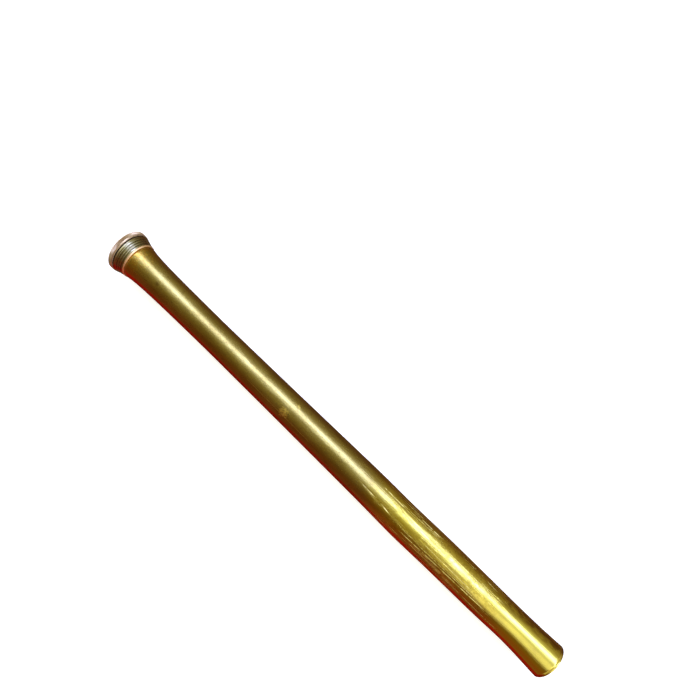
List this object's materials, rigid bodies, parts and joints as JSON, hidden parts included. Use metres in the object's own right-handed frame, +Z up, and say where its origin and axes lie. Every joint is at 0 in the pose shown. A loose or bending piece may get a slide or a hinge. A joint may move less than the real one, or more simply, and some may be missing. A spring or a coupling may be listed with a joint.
{
  "type": "telescopic didgeridoo",
  "caption": "Slim brass travel didgeridoo, closed: flared outer tube with nested draw tubes that pull out, stacked ridged collars and a reeded round mouthpiece.",
  "frame": {"origin": "on the surface it lies on, under the middle of its closed length", "axes": "+X along the tube from the mouthpiece to the bell, +Z up"},
  "size_m": [0.452, 0.0356, 0.0356],
  "materials": {
    "outer_brass": "satin to polished, hand rubbed",
    "draw_brass": "drawn, polished",
    "nickel_silver": "turned, nickel silver",
    "copper_trim": "polished copper-coloured bead",
    "reeded_rim": "reeded, satin",
    "felt": "pressed felt",
    "black_rubber": "matt"
  },
  "bodies": {
    "outer_section": {"outer_tube": "outer_brass", "mouth_bead": "copper_trim", "bell_bead": "outer_brass", "collar_1": "nickel_silver", "felt_wiper_1": "felt"},
    "draw_1": {"draw_tube_1": "draw_brass", "collar_2": "nickel_silver", "felt_wiper_2": "felt", "stop_cuff_1": "draw_brass", "felt_sleeve_1": "felt"},
    "draw_2": {"draw_tube_2": "draw_brass", "collar_3": "nickel_silver", "felt_wiper_3": "felt", "stop_cuff_2": "draw_brass", "felt_sleeve_2": "felt"},
    "draw_3": {"draw_tube_3": "draw_brass", "mouthpiece_body": "nickel_silver", "mouthpiece_rim": "reeded_rim", "rim_gasket": "black_rubber", "stop_cuff_3": "draw_brass", "felt_sleeve_3": "felt"}
  },
  "joints": [
    {"name": "draw_1_slide", "type": "slide", "parent": "outer_section", "child": "draw_1", "axis": [-1, 0, 0], "range_m": [0, 0.3495]},
    {"name": "draw_2_slide", "type": "slide", "parent": "draw_1", "child": "draw_2", "axis": [-1, 0, 0], "range_m": [0, 0.3495]},
    {"name": "draw_3_slide", "type": "slide", "parent": "draw_2", "child": "draw_3", "axis": [-1, 0, 0], "range_m": [0, 0.3495]}
  ]
}
